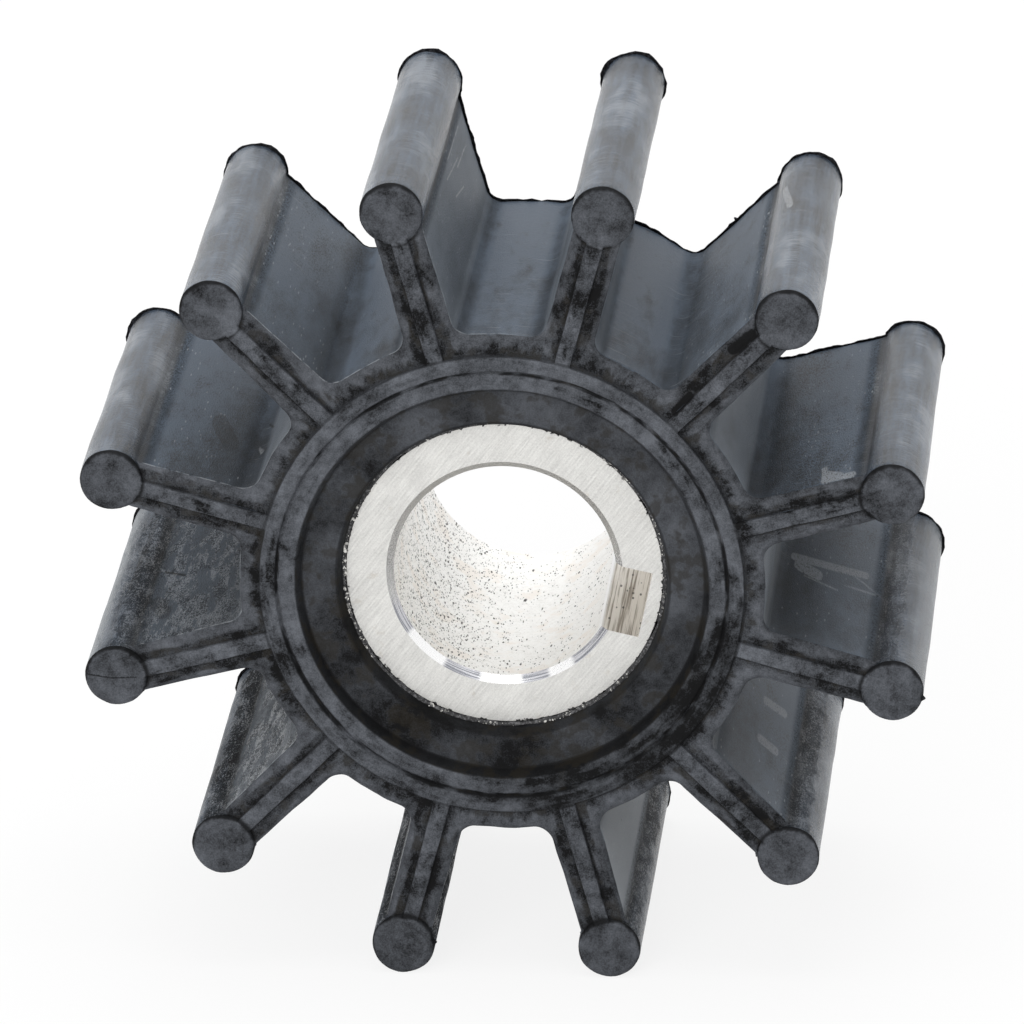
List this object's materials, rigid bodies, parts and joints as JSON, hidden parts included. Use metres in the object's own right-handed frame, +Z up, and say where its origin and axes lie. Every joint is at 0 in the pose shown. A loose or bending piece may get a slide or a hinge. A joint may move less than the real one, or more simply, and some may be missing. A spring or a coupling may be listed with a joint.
{
  "type": "pump impeller",
  "caption": "Flexible-vane pump impeller: rubber hub with radial vanes that end in round beads, bonded to a keyed metal bush.",
  "frame": {"origin": "middle of the bore, on its axis, halfway between the two end faces", "axes": "+Y along the bore axis, away from the pictured end face; +Z up, with the part standing on two vanes"},
  "size_m": [0.0602, 0.0308, 0.0602],
  "materials": {
    "rubber": "matt moulded black rubber with dusty raised edges",
    "bush": "turned and bored bare metal"
  },
  "bodies": {
    "root": {"rubber_body": "rubber", "bush": "bush"}
  },
  "joints": []
}
